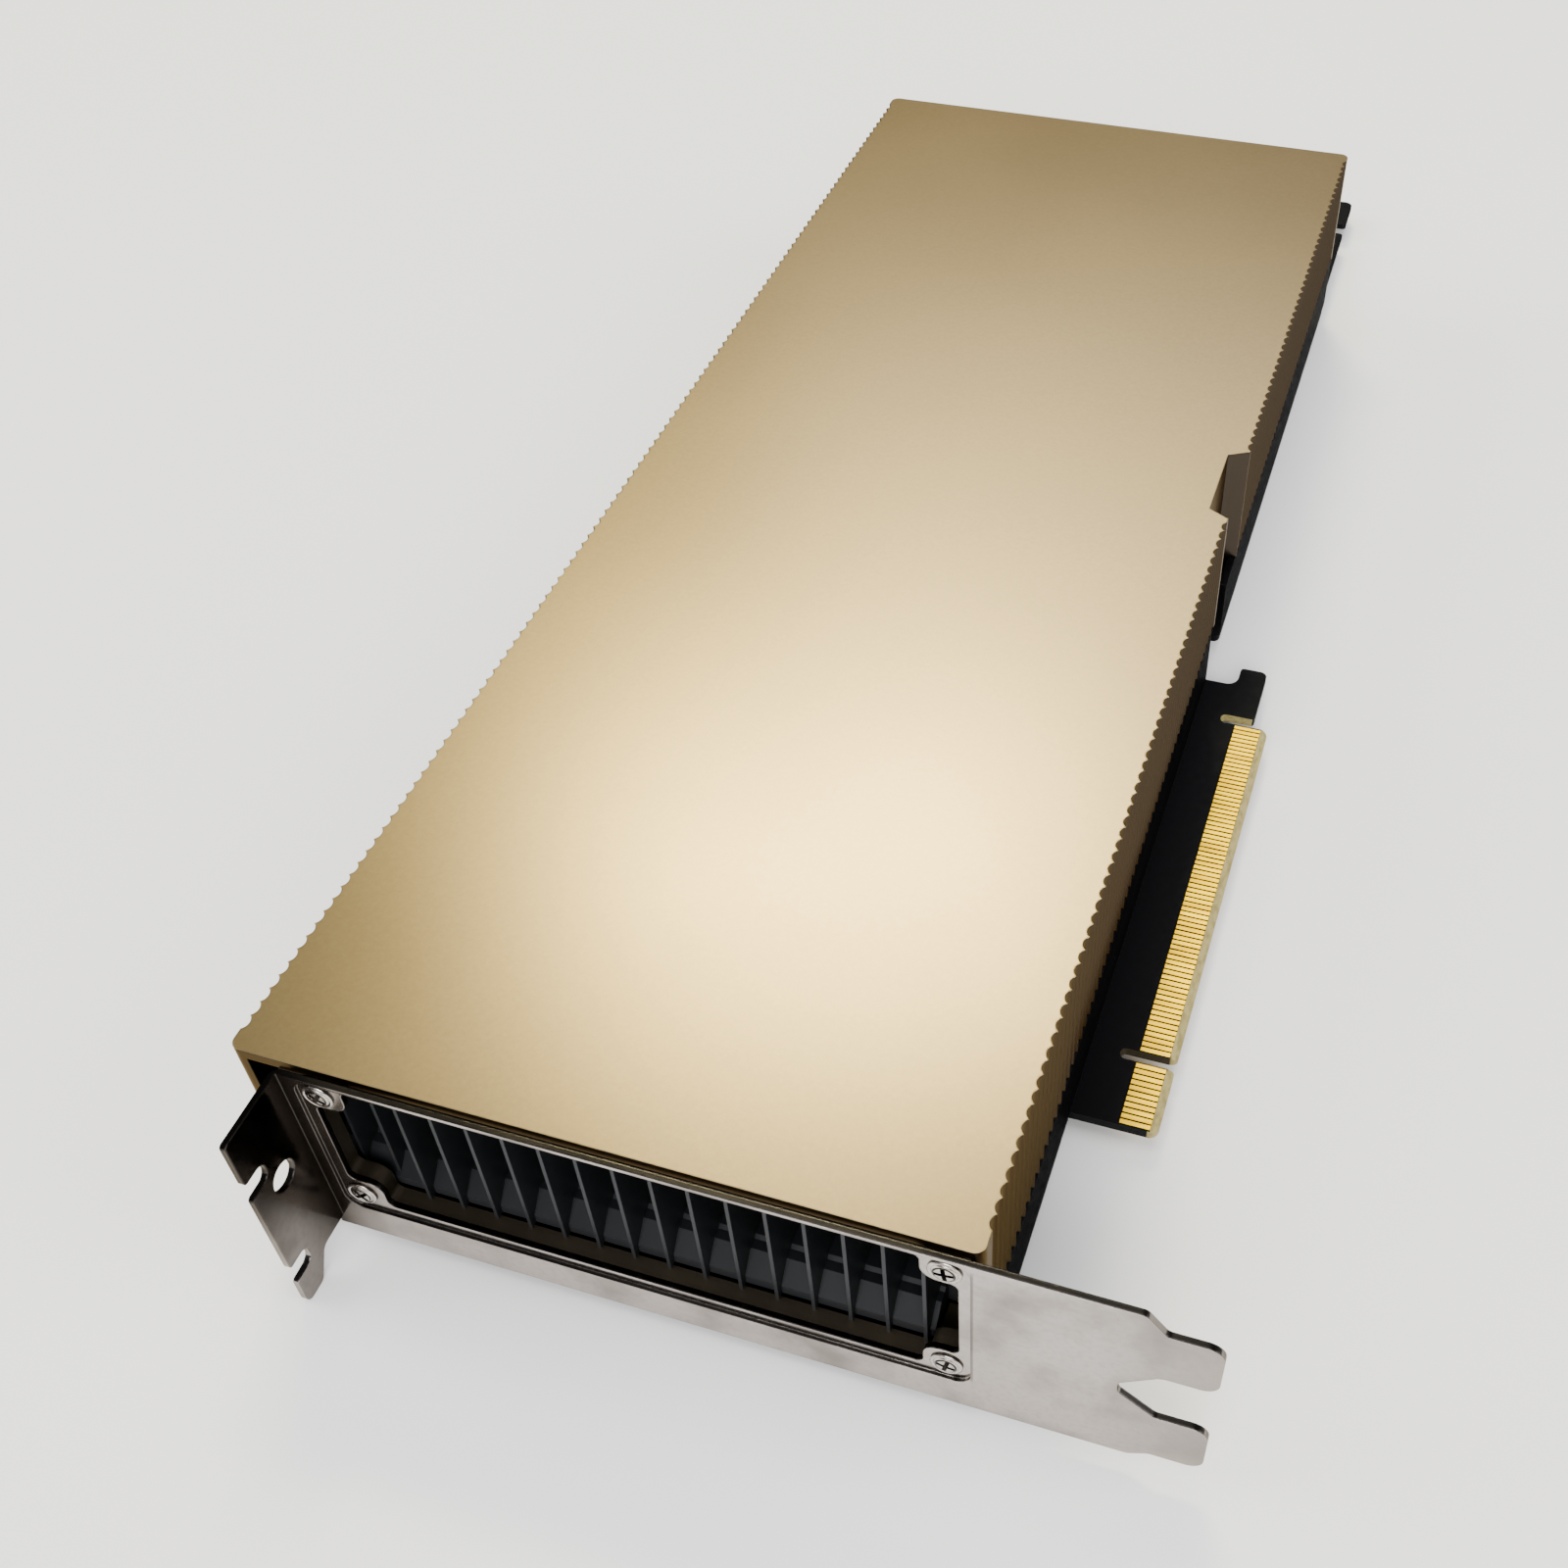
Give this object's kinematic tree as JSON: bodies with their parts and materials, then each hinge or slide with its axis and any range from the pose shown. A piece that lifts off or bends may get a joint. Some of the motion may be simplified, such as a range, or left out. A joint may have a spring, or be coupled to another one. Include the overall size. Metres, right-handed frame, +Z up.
{
  "type": "passive accelerator card",
  "caption": "Dual-slot passively cooled accelerator card: fluted metal cover, finned duct open at both ends, slotted bracket with bent flange, gold edge contacts.",
  "frame": {"origin": "on the outer face of the mounting bracket, in line with the edge of the contact tab and level with the top face of the circuit board", "axes": "+X towards the contact tab, +Y along the card away from the bracket, +Z up from the board's component side"},
  "size_m": [0.1269, 0.3224, 0.0382],
  "materials": {
    "solder_mask": "black solder mask over glass-fibre board",
    "contact_gold": "hard gold plating",
    "cover_anodised": "blasted satin anodising, pale gold",
    "bracket_nickel": "bright nickel-plated sheet steel",
    "screw_nickel": "bright nickel plating",
    "mouth_anodised": "satin anodising, pale gold",
    "frame_black": "satin black",
    "plate_black": "fine matt black",
    "standoff_brass": "turned brass",
    "black_screw": "black oxide",
    "sink_black": "black anodised",
    "chamber_copper": "satin copper",
    "substrate_green": "green resin laminate",
    "silicon": "polished silicon",
    "stiffener_nickel": "nickel-plated",
    "grease_grey": "grey heat-conducting paste",
    "ferrite_grey": "pressed ferrite",
    "chip_black": "moulded epoxy",
    "pad_grey": "soft silicone",
    "can_aluminium": "drawn aluminium can",
    "socket_black": "moulded nylon",
    "pin_tin": "tin-plated",
    "arm_black": "satin black"
  },
  "bodies": {
    "root": {"circuit_board": "solder_mask", "edge_contacts_front": "contact_gold", "edge_contacts_back": "contact_gold", "shroud": "cover_anodised", "bracket": "bracket_nickel", "bracket_screws": "screw_nickel", "duct_mouth": "mouth_anodised", "base_frame": "frame_black", "backplate": "plate_black", "standoffs": "standoff_brass", "heat_sink_screws": "black_screw", "heat_sink": "sink_black", "vapor_chamber": "chamber_copper", "processor_substrate": "substrate_green", "processor_die": "silicon", "package_stiffener": "stiffener_nickel", "memory_stacks": "silicon", "thermal_interface": "grease_grey", "power_inductors": "ferrite_grey", "power_stages": "chip_black", "coil_heat_pads": "pad_grey", "capacitors": "can_aluminium", "support_chips": "chip_black", "power_socket": "socket_black", "power_pins": "pin_tin", "support_arm": "arm_black", "arm_screws": "black_screw"}
  },
  "joints": []
}
